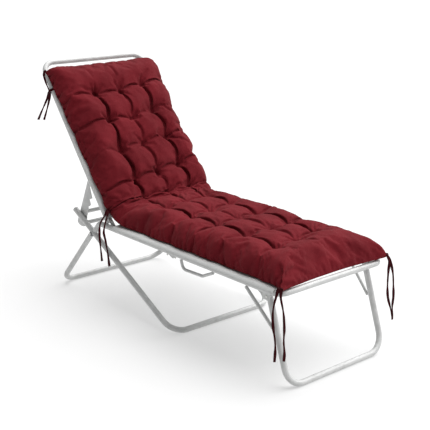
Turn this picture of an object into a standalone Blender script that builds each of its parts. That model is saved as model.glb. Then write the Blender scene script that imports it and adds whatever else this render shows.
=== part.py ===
"""A tufted lounger cushion, tied on to the folding sun lounger that it is bent over.

Metres, +Z up. +Y points to the head end, X runs across the lounger, and the floor is z = 0.
The origin is on the floor under the middle of the lounger.
"""

import math

import bmesh
import bpy
from mathutils import Matrix, Vector

# Lounger: tube and sheet sizes
TUBE_R = 0.0125
BAR_R = 0.009
ROD_R = 0.005
LOOP_R = 0.0065
PLATE = 0.003
GAP = 0.0003
TUBE_BEVEL = 4
THIN_BEVEL = 2
TUBE_CORNER_R = TUBE_R / math.cos(math.pi / (4 + 2 * TUBE_BEVEL))

# Lounger: side view and widths, between tube centres
HALF_WIDTH = 0.2875
SEAT_HEIGHT = 0.376
FOOT_Y = -0.782
HINGE_Y = 0.2918
BACK_ANGLE = math.radians(51.8)
BACK_LENGTH = 0.864
SEAT_BEND = 0.040
BACK_BEND = 0.060
LEG_BEND = 0.075
ELBOW_BEND = 0.035
STUB = 0.004
FRONT_LEG = {"half": 0.2705, "floor_y": -0.8265, "top_y": -0.7045}
MIDDLE_LEG = {"half": 0.2875, "floor_y": -0.1535, "reach": 0.828}
REAR_LEG = {"half": 0.2985, "floor_y": 0.7045}
CROSSING = (0.429, 0.3207)
CROSSING_CLEAR = 0.0165
REAR_LEG_CLEAR = 0.0157
SEAT_BREAK = (-0.150, -0.098)
STOP_BARS = {"stop_bar_upper": (0.512, 0.4015), "stop_bar_lower": (0.530, 0.341)}

# Sling: one sheet over the seat rails and one over the back rails
SLING = 0.002
SLING_WRAP = math.radians(75)
SEAT_SLING = (-0.764, 0.262)
BACK_SLING = (0.045, 0.530)

# Cushion: along the line of its underside, which lies on the slings
CUSHION_FOOT_Y = -0.800
CUSHION_LENGTH = 1.872
CUSHION_HALF = 0.292
BEND_R = 0.170
CROWN = 0.092
SEAM_HEIGHT = 0.018
TUFT_HEIGHT = 0.040
CREASE_SHARE = 0.42
TUFT_COLUMNS = (-0.145, 0.0, 0.145)
TUFT_ROWS = (0.205, 0.362, 0.545, 0.715, 0.885, 1.135, 1.255, 1.405, 1.552, 1.700)
CELL_STEPS = 6
EDGE_STEPS = 7
CORNER_FLARE = 0.010
SIDE_PINCH = 0.007

# Ties: flat tape
TAPE_WIDTH = 0.007
TAPE_THICK = 0.0012
KNOT_SIZE = (0.010, 0.012, 0.016)
KNOT_ALONG = 0.716


def clear_scene():
    for obj in list(bpy.data.objects):
        bpy.data.objects.remove(obj)


def collection(name, helper=False):
    made = bpy.data.collections.new(name)
    bpy.context.scene.collection.children.link(made)
    made.hide_render = helper
    return made


def material(name, colour, roughness, metallic=0.0):
    made = bpy.data.materials.new(name)
    made.use_nodes = True
    shader = made.node_tree.nodes["Principled BSDF"]
    shader.inputs["Base Color"].default_value = (*colour, 1)
    shader.inputs["Roughness"].default_value = roughness
    shader.inputs["Metallic"].default_value = metallic
    return made


def finish_object(name, data, surface, smooth=True):
    obj = bpy.data.objects.new(name, data)
    data.materials.append(surface)
    PARTS.objects.link(obj)
    if smooth and obj.type == "MESH":
        data.shade_smooth()
        data.set_sharp_from_angle(angle=math.radians(40))
    return obj


# Points along bent tubes


def rounded(corners, bend, steps=6):
    """The corners joined by straight runs, with an arc of radius bend at each inner corner."""
    corners = [Vector(corner) for corner in corners]
    points = [corners[0]]
    for before, corner, after in zip(corners, corners[1:], corners[2:]):
        inward = (before - corner).normalized()
        outward = (after - corner).normalized()
        half_turn = (math.pi - inward.angle(outward)) / 2
        setback = bend * math.tan(half_turn)
        centre = corner + (inward + outward).normalized() * (bend / math.cos(half_turn))
        start = corner + inward * setback - centre
        axis = start.cross(corner + outward * setback - centre).normalized()
        for step in range(steps + 1):
            turn = Matrix.Rotation(2 * half_turn * step / steps, 3, axis)
            points.append(centre + turn @ start)
    points.append(corners[-1])
    return points


def tube(name, points, radius, surface, bevel=TUBE_BEVEL):
    """A round tube along the points, with a flat facet of its section facing down where it lies level."""
    curve = bpy.data.curves.new(name, "CURVE")
    curve.dimensions = "3D"
    curve.twist_mode = "Z_UP"
    curve.bevel_depth = radius / math.cos(math.pi / (4 + 2 * bevel))
    curve.bevel_resolution = bevel
    curve.use_fill_caps = True
    spline = curve.splines.new("POLY")
    spline.points.add(len(points) - 1)
    for target, point in zip(spline.points, points):
        target.co = (*point, 1)
        target.tilt = math.pi / (4 + 2 * bevel)
    return finish_object(name, curve, surface)


def mirrored(points):
    return [(-x, y, z) for x, y, z in points]


def both_sides(name, points, radius, surface, bevel=TUBE_BEVEL):
    """The same tube on the left, at negative X, and on the right."""
    tube(name + "_left", points, radius, surface, bevel)
    tube(name + "_right", mirrored(points), radius, surface, bevel)


def plate(name, side_outline, x_outer, thickness, surface):
    """A flat plate square to X: its outline in (y, z), from x_outer inwards by its thickness."""
    for side, sign in (("_left", -1), ("_right", 1)):
        mesh = bpy.data.meshes.new(name + side)
        shape = bmesh.new()
        corners = [shape.verts.new((sign * x_outer, y, z)) for y, z in side_outline]
        face = shape.faces.new(corners)
        moved = bmesh.ops.extrude_face_region(shape, geom=[face])
        inner = [item for item in moved["geom"] if isinstance(item, bmesh.types.BMVert)]
        bmesh.ops.translate(shape, verts=inner, vec=(-sign * thickness, 0, 0))
        bmesh.ops.recalc_face_normals(shape, faces=shape.faces)
        shape.to_mesh(mesh)
        shape.free()
        finish_object(name + side, mesh, surface)


# Lounger


def back_point(along, off=0.0, x=0.0):
    """A point on the back, along its rails from the hinge and off their plane, towards the sitter."""
    y = HINGE_Y + along * math.cos(BACK_ANGLE) - off * math.sin(BACK_ANGLE)
    z = SEAT_HEIGHT + along * math.sin(BACK_ANGLE) + off * math.cos(BACK_ANGLE)
    return (x, y, z)


def seat_frame(surface):
    """Rails bent at the foot end, a bar across the foot, and an elbow down to the rear leg."""
    crossing_y, crossing_z = CROSSING
    rear_run = Vector((0, REAR_LEG["floor_y"] - crossing_y, TUBE_R - crossing_z)).normalized()
    reach = (SEAT_HEIGHT - crossing_z) / -rear_run.z
    elbow = Vector((-HALF_WIDTH, crossing_y, crossing_z)) - rear_run * reach
    stub_end = Vector((-HALF_WIDTH, crossing_y, crossing_z)) - rear_run * CROSSING_CLEAR
    foot_corner = (-HALF_WIDTH, FOOT_Y, SEAT_HEIGHT)
    bar_end = (-HALF_WIDTH + SEAT_BEND + STUB, FOOT_Y, SEAT_HEIGHT)
    bend = rounded([bar_end, foot_corner, elbow], SEAT_BEND)
    down = rounded([foot_corner, elbow, stub_end], ELBOW_BEND)
    both_sides("seat_rail", bend[:-1] + down[1:], TUBE_R, surface)
    half_bar = HALF_WIDTH - SEAT_BEND - STUB - GAP
    tube("foot_bar", [(-half_bar, FOOT_Y, SEAT_HEIGHT), (half_bar, FOOT_Y, SEAT_HEIGHT)], TUBE_R, surface)


def back_frame(surface):
    """Rails up from the hinge, bent at the head, and a bar across the top."""
    start = (TUBE_R + GAP + TUBE_R * math.cos(BACK_ANGLE)) / math.sin(BACK_ANGLE)
    corner = back_point(BACK_LENGTH, x=-HALF_WIDTH)
    bar_end = back_point(BACK_LENGTH, x=-HALF_WIDTH + BACK_BEND + STUB)
    rail = rounded([back_point(start, x=-HALF_WIDTH), corner, bar_end], BACK_BEND)
    both_sides("back_rail", rail, TUBE_R, surface)
    half_bar = HALF_WIDTH - BACK_BEND - STUB - GAP
    ends = [back_point(BACK_LENGTH, x=-half_bar), back_point(BACK_LENGTH, x=half_bar)]
    tube("top_bar", ends, TUBE_R, surface)


def leg(name, half, floor_y, top, surface):
    """One leg frame: a bent tube on each side, and the bar that lies on the floor between them."""
    floor = (-half, floor_y, TUBE_R)
    bar_end = (-half + LEG_BEND + STUB, floor_y, TUBE_R)
    both_sides(name, rounded([top, floor, bar_end], LEG_BEND), TUBE_R, surface)
    half_bar = half - LEG_BEND - STUB - GAP
    tube(name + "_floor_bar", [(-half_bar, floor_y, TUBE_R), (half_bar, floor_y, TUBE_R)], TUBE_R, surface)


def legs(surface):
    lean = math.atan2(FRONT_LEG["top_y"] - FRONT_LEG["floor_y"], SEAT_HEIGHT - TUBE_R)
    top_z = SEAT_HEIGHT - TUBE_R - GAP - TUBE_R * math.sin(lean)
    top_y = FRONT_LEG["floor_y"] + (top_z - TUBE_R) * math.tan(lean)
    leg("front_leg", FRONT_LEG["half"], FRONT_LEG["floor_y"], (-FRONT_LEG["half"], top_y, top_z), surface)

    crossing_y, crossing_z = CROSSING
    run = Vector((0, crossing_y - MIDDLE_LEG["floor_y"], crossing_z - TUBE_R)).normalized()
    top = Vector((-MIDDLE_LEG["half"], MIDDLE_LEG["floor_y"], TUBE_R)) + run * MIDDLE_LEG["reach"]
    leg("middle_leg", MIDDLE_LEG["half"], MIDDLE_LEG["floor_y"], top, surface)

    run = Vector((0, REAR_LEG["floor_y"] - crossing_y, TUBE_R - crossing_z)).normalized()
    top = Vector((-REAR_LEG["half"], crossing_y, crossing_z)) + run * REAR_LEG_CLEAR
    leg("rear_leg", REAR_LEG["half"], REAR_LEG["floor_y"], top, surface)


def plate_x():
    """The face of a plate that lies against the inner side of the rails."""
    return HALF_WIDTH - TUBE_R - GAP


def ratchet_plates(surface):
    """A long plate hung from each back rail, with stop notches on its front edge and a round lower end."""
    front = [(0.4500, 0.5700), (0.4736, 0.5243), (0.4565, 0.4749), (0.4790, 0.4655), (0.4704, 0.4407)]
    front += [(0.4912, 0.4280), (0.4898, 0.4190), (0.4985, 0.3939), (0.5041, 0.3806), (0.5120, 0.3400)]
    low_y, low_z, reach_y, reach_z = 0.5490, 0.3400, 0.0370, 0.0190
    low = []
    for t in half_circle(8):
        low.append((low_y - reach_y * math.cos(t), low_z - reach_z * math.sin(t)))
    rear = [(0.5607, 0.3913), (0.4899, 0.5508), (0.4640, 0.6000)]
    plate("ratchet_plate", front[:-1] + low + rear, plate_x(), PLATE, surface)


def half_circle(steps):
    return [math.pi * step / steps for step in range(steps + 1)]


def hinge_plates(surface):
    """A rounded plate on the inner side of each pair of rails, over the back's hinge."""
    low = [(HINGE_Y - 0.006 + 0.020 * math.cos(t), SEAT_HEIGHT + 0.002 - 0.016 * math.sin(t)) for t in half_circle(6)]
    _, y, z = back_point(0.062, 0.010)
    _, y_back, z_back = back_point(0.062, -0.012)
    plate("hinge_plate", [*low, (y, z), (y_back, z_back)], plate_x(), PLATE, surface)


def break_plates(surface):
    """The joint plate that hangs under each seat rail, where the seat folds."""
    low_z = SEAT_HEIGHT - 0.034
    start, end = SEAT_BREAK
    outline = [(start - 0.022, SEAT_HEIGHT + 0.006), (start, low_z + 0.006), (start + 0.014, low_z)]
    outline += [(end - 0.012, low_z + 0.010), (end + 0.014, SEAT_HEIGHT - 0.004), (end + 0.014, SEAT_HEIGHT + 0.006)]
    plate("break_plate", outline, plate_x(), PLATE, surface)


def leg_brackets(surface):
    """A short plate on the outer side of each front leg's top."""
    top_z = SEAT_HEIGHT - TUBE_R - GAP
    middle_y = FRONT_LEG["top_y"] - 0.008
    outline = [(middle_y - 0.022, top_z), (middle_y - 0.016, top_z - 0.028), (middle_y + 0.016, top_z - 0.028)]
    outline.append((middle_y + 0.022, top_z))
    plate("leg_bracket", outline, FRONT_LEG["half"] + TUBE_R + GAP + PLATE, PLATE, surface)


def braces(surface):
    """A thin rod from each seat rail down to its front leg, and a bent rod under each rail by the fold."""
    lean = math.atan2(FRONT_LEG["top_y"] - FRONT_LEG["floor_y"], SEAT_HEIGHT - TUBE_R)
    low_z, top_y = 0.224, -0.600
    leg_y = FRONT_LEG["floor_y"] + (low_z - TUBE_R) * math.tan(lean)
    slope = math.atan2(top_y - leg_y, SEAT_HEIGHT - low_z)
    corner = ROD_R / math.cos(math.pi / (4 + 2 * THIN_BEVEL))
    off = TUBE_CORNER_R + GAP + corner * math.cos(slope - lean)
    low = (-FRONT_LEG["half"], leg_y + off / math.cos(lean), low_z)
    top = (-HALF_WIDTH, top_y, SEAT_HEIGHT - TUBE_R - GAP - corner * math.sin(slope))
    both_sides("brace_rod", [top, low], ROD_R, surface, THIN_BEVEL)

    rail_low = SEAT_HEIGHT - TUBE_R - GAP
    corner = LOOP_R / math.cos(math.pi / (4 + 2 * THIN_BEVEL))
    loop = [(-HALF_WIDTH, -0.2085, rail_low - 0.32 * corner), (-HALF_WIDTH, -0.222, rail_low - 0.041)]
    loop += [(-HALF_WIDTH, -0.345, rail_low - 0.037), (-HALF_WIDTH, -0.410, rail_low - 0.92 * corner)]
    both_sides("under_loop", rounded(loop, 0.016, 4), LOOP_R, surface, THIN_BEVEL)


def stop_bars(surface):
    """The two bars across, between the ratchet plates, where the back's notches rest."""
    half = plate_x() - PLATE - GAP
    for name, (y, z) in STOP_BARS.items():
        tube(name, [(-half, y, z), (half, y, z)], BAR_R, surface, THIN_BEVEL)


def sling_profile():
    """Across the lounger: (x, height) of the cloth's underside, over one rail, flat, and over the other."""
    radius = TUBE_CORNER_R + GAP
    arc = []
    for step in range(7):
        angle = SLING_WRAP * (1 - step / 6)
        arc.append((-HALF_WIDTH - radius * math.sin(angle), radius * math.cos(angle)))
    return arc + [(-x, height) for x, height in reversed(arc)]


def sling(name, frame_point, ends, surface):
    """A sheet stretched from rail to rail, its edges turned down over their outer sides."""
    mesh = bpy.data.meshes.new(name)
    shape = bmesh.new()
    rows = []
    for along in ends:
        rows.append([shape.verts.new(frame_point(x, along, height)) for x, height in sling_profile()])
    for column in range(len(rows[0]) - 1):
        shape.faces.new((rows[0][column], rows[0][column + 1], rows[1][column + 1], rows[1][column]))
    shape.to_mesh(mesh)
    shape.free()
    obj = finish_object(name, mesh, surface, smooth=False)
    solid = obj.modifiers.new("cloth", "SOLIDIFY")
    solid.thickness = SLING
    solid.offset = 1
    return obj


def slings(surface):
    sling("seat_sling", lambda x, y, height: (x, y, SEAT_HEIGHT + height), SEAT_SLING, surface)
    sling("back_sling", lambda x, along, height: back_point(along, height, x), BACK_SLING, surface)


# Cushion


def cushion_path(s, height):
    """(y, z) at s along the cushion's underside and height above it, square to it."""
    lift = TUBE_CORNER_R + GAP + SLING + GAP
    tangent = BEND_R * math.tan(BACK_ANGLE / 2)
    corner_y = HINGE_Y - lift * math.tan(BACK_ANGLE / 2)
    corner_z = SEAT_HEIGHT + lift
    bend_start = corner_y - tangent - CUSHION_FOOT_Y
    bend_end = bend_start + BEND_R * BACK_ANGLE
    if s <= bend_start:
        return (CUSHION_FOOT_Y + s, corner_z + height)
    if s >= bend_end:
        along = tangent + s - bend_end
        y = corner_y + along * math.cos(BACK_ANGLE) - height * math.sin(BACK_ANGLE)
        z = corner_z + along * math.sin(BACK_ANGLE) + height * math.cos(BACK_ANGLE)
        return (y, z)
    turn = (s - bend_start) / BEND_R
    y = corner_y - tangent + (BEND_R - height) * math.sin(turn)
    z = corner_z + BEND_R - (BEND_R - height) * math.cos(turn)
    return (y, z)


def spread(marks):
    """Positions across the marks: (value, cell, place in the cell). They crowd at creases and at the edges."""
    found = []
    last = len(marks) - 2
    for cell, (low, high) in enumerate(zip(marks, marks[1:])):
        steps = EDGE_STEPS if cell in (0, last) else CELL_STEPS
        for step in range(steps):
            place = (1 - math.cos(math.pi * step / steps)) / 2
            found.append((low + (high - low) * place, cell, place))
    found.append((marks[-1], last, 1.0))
    return found


def puff(cell, place, last):
    """0 in a crease, 1 on the crown. The outer half of an edge cell stays full."""
    if cell == 0:
        place = max(place, 0.5)
    if cell == last:
        place = min(place, 0.5)
    return math.sin(math.pi * place) ** 0.55


def rim(distance):
    """0 at the seam, rising steeply to 1 on the top: the round side of the cushion."""
    share = min(distance / 0.055, 1.0)
    return (1 - (1 - share) ** 2.4) ** 0.5


def half_width(s):
    """The seam is drawn in at each row of tufts and runs out to a point at the four corners."""
    row = min(abs(s - mark) for mark in TUFT_ROWS)
    pinch = SIDE_PINCH * math.exp(-((row / 0.030) ** 2))
    end = min(s, CUSHION_LENGTH - s)
    return CUSHION_HALF - pinch + CORNER_FLARE * math.exp(-end / 0.035)


def cushion(surface):
    """One filled body: a top face pulled down at the tufts, a flatter underside, and one seam round them."""
    rows = spread((0.0, *TUFT_ROWS, CUSHION_LENGTH))
    columns = spread((-CUSHION_HALF, *TUFT_COLUMNS, CUSHION_HALF))
    last_row = len(TUFT_ROWS)
    last_column = len(TUFT_COLUMNS)
    shape = bmesh.new()
    top, under = [], []
    for s, row, row_place in rows:
        top_line, under_line = [], []
        along = puff(row, row_place, last_row)
        for x, column, column_place in columns:
            across = puff(column, column_place, last_column)
            rise = CREASE_SHARE * (along + across) + (1 - 2 * CREASE_SHARE) * along * across
            edge = rim(min(s, CUSHION_LENGTH - s)) * rim(CUSHION_HALF - abs(x))
            crown = TUFT_HEIGHT + (CROWN - TUFT_HEIGHT) * rise
            wide = x * half_width(s) / CUSHION_HALF
            y, z = cushion_path(s, SEAM_HEIGHT + (crown - SEAM_HEIGHT) * edge)
            point = shape.verts.new((wide, y, z))
            top_line.append(point)
            if s in (0.0, CUSHION_LENGTH) or abs(x) == CUSHION_HALF:
                under_line.append(point)
                continue
            y, z = cushion_path(s, SEAM_HEIGHT * (1 - edge))
            under_line.append(shape.verts.new((wide, y, z)))
        top.append(top_line)
        under.append(under_line)
    for grid, turned in ((top, False), (under, True)):
        for near, far in zip(grid, grid[1:]):
            for column in range(len(columns) - 1):
                corners = (near[column], near[column + 1], far[column + 1], far[column])
                shape.faces.new(corners[::-1] if turned else corners)
    mesh = bpy.data.meshes.new("cushion")
    shape.to_mesh(mesh)
    shape.free()
    finish_object("cushion", mesh, surface)


# Ties


def smooth_route(points, steps=5):
    """A smooth line through the points."""
    points = [Vector(point) for point in points]
    padded = [2 * points[0] - points[1], *points, 2 * points[-1] - points[-2]]
    line = []
    for before, start, end, after in zip(padded, padded[1:], padded[2:], padded[3:]):
        for step in range(steps):
            t = step / steps
            line.append(
                0.5
                * (
                    2 * start
                    + (end - before) * t
                    + (2 * before - 5 * start + 4 * end - after) * t**2
                    + (3 * start - before - 3 * end + after) * t**3
                )
            )
    line.append(points[-1])
    return line


def tape_section():
    curve = bpy.data.curves.new("tape_section", "CURVE")
    curve.dimensions = "2D"
    spline = curve.splines.new("POLY")
    spline.points.add(3)
    spline.use_cyclic_u = True
    wide, thick = TAPE_WIDTH / 2, TAPE_THICK / 2
    for target, (x, y) in zip(spline.points, ((-wide, thick), (wide, thick), (wide, -thick), (-wide, -thick))):
        target.co = (x, y, 0, 1)
    obj = bpy.data.objects.new("tape_section", curve)
    obj.hide_render = True
    HELPERS.objects.link(obj)
    return obj


def tape(name, points, turns, section, surface):
    """A flat tape along the points. Turns lists how far it has twisted at its start and at its end."""
    line = smooth_route(points)
    curve = bpy.data.curves.new(name, "CURVE")
    curve.dimensions = "3D"
    curve.twist_mode = "MINIMUM"
    curve.bevel_mode = "OBJECT"
    curve.bevel_object = section
    curve.use_fill_caps = True
    spline = curve.splines.new("POLY")
    spline.points.add(len(line) - 1)
    for index, (target, point) in enumerate(zip(spline.points, line)):
        target.co = (*point, 1)
        share = index / (len(line) - 1)
        target.tilt = turns[0] + (turns[1] - turns[0]) * share
    finish_object(name, curve, surface)


def knot(name, place, surface):
    """The small lump of a tied tape."""
    mesh = bpy.data.meshes.new(name)
    shape = bmesh.new()
    bmesh.ops.create_icosphere(shape, subdivisions=2, radius=0.5)
    bmesh.ops.scale(shape, vec=KNOT_SIZE, verts=shape.verts)
    bmesh.ops.translate(shape, vec=place, verts=shape.verts)
    shape.to_mesh(mesh)
    shape.free()
    finish_object(name, mesh, surface)


# Free tapes, by hand: each starts flat against the cushion's seam and hangs outside the rails
FOOT_LEFT_A = [(-0.3020, -0.7950, 0.4105), (-0.3040, -0.789, 0.396), (-0.3050, -0.782, 0.372)]
FOOT_LEFT_A += [(-0.3080, -0.774, 0.334), (-0.3090, -0.771, 0.295), (-0.3080, -0.774, 0.250)]
FOOT_LEFT_A += [(-0.3040, -0.780, 0.205), (-0.3030, -0.783, 0.165), (-0.3040, -0.781, 0.113)]
FOOT_LEFT_B = [(-0.2970, -0.8010, 0.4105), (-0.3000, -0.802, 0.396), (-0.3010, -0.803, 0.372)]
FOOT_LEFT_B += [(-0.2970, -0.810, 0.334), (-0.2950, -0.815, 0.300), (-0.2940, -0.818, 0.250)]
FOOT_LEFT_B += [(-0.2945, -0.817, 0.205), (-0.2920, -0.820, 0.160), (-0.2930, -0.819, 0.126)]
FOOT_RIGHT_A = [(0.2970, -0.8020, 0.4105), (0.3000, -0.804, 0.397), (0.3050, -0.808, 0.378)]
FOOT_RIGHT_A += [(0.3060, -0.806, 0.330), (0.3060, -0.806, 0.276), (0.3090, -0.809, 0.226)]
FOOT_RIGHT_A += [(0.3160, -0.817, 0.186), (0.3210, -0.822, 0.160), (0.3240, -0.826, 0.135)]
FOOT_RIGHT_B = [(0.3029, -0.7950, 0.4105), (0.3085, -0.796, 0.398), (0.3140, -0.806, 0.380)]
FOOT_RIGHT_B += [(0.3180, -0.820, 0.330), (0.3190, -0.826, 0.274), (0.3190, -0.829, 0.229)]
FOOT_RIGHT_B += [(0.3155, -0.829, 0.190), (0.3165, -0.831, 0.160), (0.3170, -0.832, 0.132)]
MIDDLE_LEFT_A = [(-0.2872, 0.3095, 0.4560), (-0.3015, 0.304, 0.4490), (-0.3140, 0.300, 0.435)]
MIDDLE_LEFT_A += [(-0.3280, 0.300, 0.419), (-0.3400, 0.300, 0.400), (-0.3440, 0.300, 0.362)]
MIDDLE_LEFT_A += [(-0.3430, 0.300, 0.326), (-0.3390, 0.300, 0.276), (-0.3350, 0.300, 0.228)]
MIDDLE_LEFT_B = [(-0.2882, 0.3030, 0.4490), (-0.3010, 0.292, 0.4500), (-0.3110, 0.288, 0.430)]
MIDDLE_LEFT_B += [(-0.3200, 0.288, 0.405), (-0.3250, 0.288, 0.388), (-0.3290, 0.288, 0.360)]
MIDDLE_LEFT_B += [(-0.3210, 0.288, 0.324), (-0.3110, 0.288, 0.263), (-0.3040, 0.288, 0.199)]


def ties(surface):
    section = tape_section()
    tape("tie_foot_left_a", FOOT_LEFT_A, (1.89, 0.3), section, surface)
    tape("tie_foot_left_b", FOOT_LEFT_B, (1.87, 3.2), section, surface)
    tape("tie_foot_right_a", FOOT_RIGHT_A, (1.37, 1.2), section, surface)
    tape("tie_foot_right_b", FOOT_RIGHT_B, (2.27, 2.6), section, surface)
    for side, turned, sign in (("left", list, -1), ("right", mirrored, 1)):
        tape(f"tie_middle_{side}_a", turned(MIDDLE_LEFT_A), (0.66 * sign, 0.9), section, surface)
        tape(f"tie_middle_{side}_b", turned(MIDDLE_LEFT_B), (0.66 * sign, 1.6), section, surface)
        head_tie(side, turned, sign, section, surface)


def head_tie(side, turned, sign, section, surface):
    """Two tapes from the corner down the outer side of the rail, one turn round it, a knot, and two tails."""
    ring_r = TUBE_CORNER_R + TAPE_THICK / 2 + 2 * GAP
    flat = math.pi / 2 + 0.2 * sign
    ring = []
    for step in range(15):
        angle = math.radians(5 + 25 * step)
        ring.append(back_point(KNOT_ALONG, ring_r * math.sin(angle), -HALF_WIDTH - ring_r * math.cos(angle)))
    tape(f"tie_head_{side}_turn", turned(ring), (flat, flat), section, surface)

    x = -HALF_WIDTH - ring_r - TAPE_THICK / 2 - GAP - KNOT_SIZE[0] / 2
    _, y, z = back_point(KNOT_ALONG, 0.001)
    knot(f"tie_head_{side}_knot", turned([(x, y, z)])[0], surface)

    upper = [(-0.3030, 0.7640, 1.0290), (-0.3060, 0.774, 1.019), (-0.3060, 0.779, 1.002)]
    upper += [(-0.3060, 0.762, 0.970), (x, y + 0.0045, z + 0.0058)]
    tape(f"tie_head_{side}_a", turned(upper), (0.0, 0.0), section, surface)
    tail_a = [(x, y + 0.0020, z - 0.0081), (x - 0.004, y + 0.014, z - 0.036)]
    tail_a += [(x - 0.011, y + 0.050, z - 0.092), (x - 0.014, y + 0.088, z - 0.146)]
    tail_b = [(x, y - 0.0018, z - 0.0082), (x + 0.001, y + 0.004, z - 0.036)]
    tail_b += [(x + 0.001, y + 0.030, z - 0.090), (x - 0.002, y + 0.056, z - 0.144)]
    tape(f"tie_head_{side}_tail_a", turned(tail_a), (0.2, 1.0), section, surface)
    tape(f"tie_head_{side}_tail_b", turned(tail_b), (0.2, 0.6), section, surface)


clear_scene()
PARTS = collection("tufted_lounger_cushion")
HELPERS = collection("helpers", helper=True)

painted = material("painted_tube", (0.62, 0.63, 0.62), 0.35)
woven = material("sling_cloth", (0.68, 0.69, 0.68), 0.8)
cotton = material("cushion_cotton", (0.20, 0.011, 0.020), 0.85)
tape_cloth = material("tie_tape", (0.13, 0.008, 0.016), 0.85)

seat_frame(painted)
back_frame(painted)
legs(painted)
ratchet_plates(painted)
hinge_plates(painted)
break_plates(painted)
leg_brackets(painted)
braces(painted)
stop_bars(painted)
slings(woven)
cushion(cotton)
ties(tape_cloth)
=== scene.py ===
"""The looks of a tufted lounger cushion, tied on to the folding sun lounger that it is bent over.

Metres, +Z up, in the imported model's frame: +Y points to the head end, X runs across the lounger.
"""

import math
import random

import bmesh
import bpy
import numpy as np
from mathutils import Matrix, Vector, noise


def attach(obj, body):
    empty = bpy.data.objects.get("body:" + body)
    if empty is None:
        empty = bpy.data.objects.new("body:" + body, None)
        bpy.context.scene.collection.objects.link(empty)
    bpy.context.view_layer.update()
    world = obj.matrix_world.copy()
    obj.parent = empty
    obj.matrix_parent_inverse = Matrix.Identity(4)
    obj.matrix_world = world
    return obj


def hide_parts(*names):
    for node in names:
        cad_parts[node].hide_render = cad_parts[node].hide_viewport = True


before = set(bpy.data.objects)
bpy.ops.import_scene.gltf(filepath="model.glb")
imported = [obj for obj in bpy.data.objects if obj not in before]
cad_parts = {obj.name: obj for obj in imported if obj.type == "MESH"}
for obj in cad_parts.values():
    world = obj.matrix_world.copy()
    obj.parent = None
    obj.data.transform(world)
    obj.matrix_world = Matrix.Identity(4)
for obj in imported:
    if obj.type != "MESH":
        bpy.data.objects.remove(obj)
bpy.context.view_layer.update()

# Camera, fitted to the photograph's 430 x 430 frame
VIEW_AZIMUTH = math.radians(-40.88)
VIEW_ELEVATION = math.radians(16.56)
VIEW_ROLL = math.radians(0.30)
VIEW_TARGET = Vector((0.1816, 0.1225, 0.3856))
VIEW_DISTANCE = 4.4174
SENSOR = 36.0
LENS = SENSOR * 949.35 / 430

# Light and floor
WHITE = (1, 1, 1, 1)
FLOOR_COLOUR = (0.36, 0.36, 0.36)
FLOOR_GLOW = 0.45
WORLD_STRENGTH = 0.30
KEY_ENERGY = 5.5
KEY_ANGLE = math.radians(85)
KEY_DIRECTION = (0.62, -0.10, 1.0)

# Lounger: tube and sheet sizes, as in the frame
TUBE_R = 0.0125
BAR_R = 0.009
ROD_R = 0.0068
LOOP_R = 0.0065
PLATE = 0.003
GAP = 0.0003
TUBE_CORNER_R = TUBE_R / math.cos(math.pi / 12)
HALF_WIDTH = 0.2875
SEAT_HEIGHT = 0.376
FOOT_Y = -0.782
HINGE_Y = 0.2918
BACK_ANGLE = math.radians(51.8)
BACK_LENGTH = 0.864
SEAT_BEND = 0.040
BACK_BEND = 0.060
LEG_BEND = 0.075
ELBOW_BEND = 0.035
FRONT_LEG = {"half": 0.2705, "floor_y": -0.8265, "top_y": -0.7045}
MIDDLE_LEG = {"half": 0.2875, "floor_y": -0.1535, "reach": 0.828}
REAR_LEG = {"half": 0.2985, "floor_y": 0.7045}
CROSSING = (0.429, 0.3207)
CROSSING_CLEAR = 0.0165
REAR_LEG_CLEAR = 0.0080
STOP_BARS = {"stop_bar_upper": (0.512, 0.4015), "stop_bar_lower": (0.530, 0.341)}

# Slings
SLING = 0.002
SLING_WRAP = math.radians(75)
SEAT_SLING = (-0.760, 0.262)
HEM = 0.024
HEM_LIFT = 0.0012
BACK_SLING = (0.045, 0.530)

# Cushion, along the line of its underside
CUSHION_FOOT_Y = -0.800
CUSHION_LENGTH = 1.872
CUSHION_HALF = 0.292
BEND_R = 0.170
SEAM_HEIGHT = 0.007
SEAT_CROWN = 0.093
BACK_CROWN = 0.084
SIDE_RIM = 0.080
HEAD_RIM = 0.090
FOOT_RIM = 0.095
TUFT_COLUMNS = (-0.134, 0.001, 0.136)
TUFT_ROWS = (0.215, 0.378, 0.560, 0.735, 0.905, 1.142, 1.253, 1.403, 1.551, 1.697)
ROW_SKEWS = (0.20, 0.00, 0.07, 0.12, 0.09, 0.04, 0.12, 0.09, 0.08, 0.07)
ROW_DEPTHS = (0.034, 0.020, 0.018, 0.018, 0.018, 0.030, 0.036, 0.034, 0.032, 0.026)
TUFT_DEPTHS = (1.0, 0.75, 0.95)
CREASE_DEPTHS = (1.0, 0.45, 0.85)
HEAD_THINNING = 0.08
CLOTH_STEPS = (60, 198)
COVER_STEPS = (190, 420)
UNDER_STEPS = 16
CLOTH_SPARE = 0.06
CLOTH_PRESSURE = 3.0
CLOTH_BENDING = 0.3
CLOTH_FRAMES = 20
CLOTH_CAP = 0.022
TUFT_HELD = 0.0075
CLOTH_TRIM = 0.55

# Tape of the ties
TAPE_WIDTH = 0.0105
TAPE_THICK = 0.0012
ROLLED_THICK = 0.0036
KNOT_SIZE = (0.010, 0.012, 0.016)
KNOT_ALONG = 0.716


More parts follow.
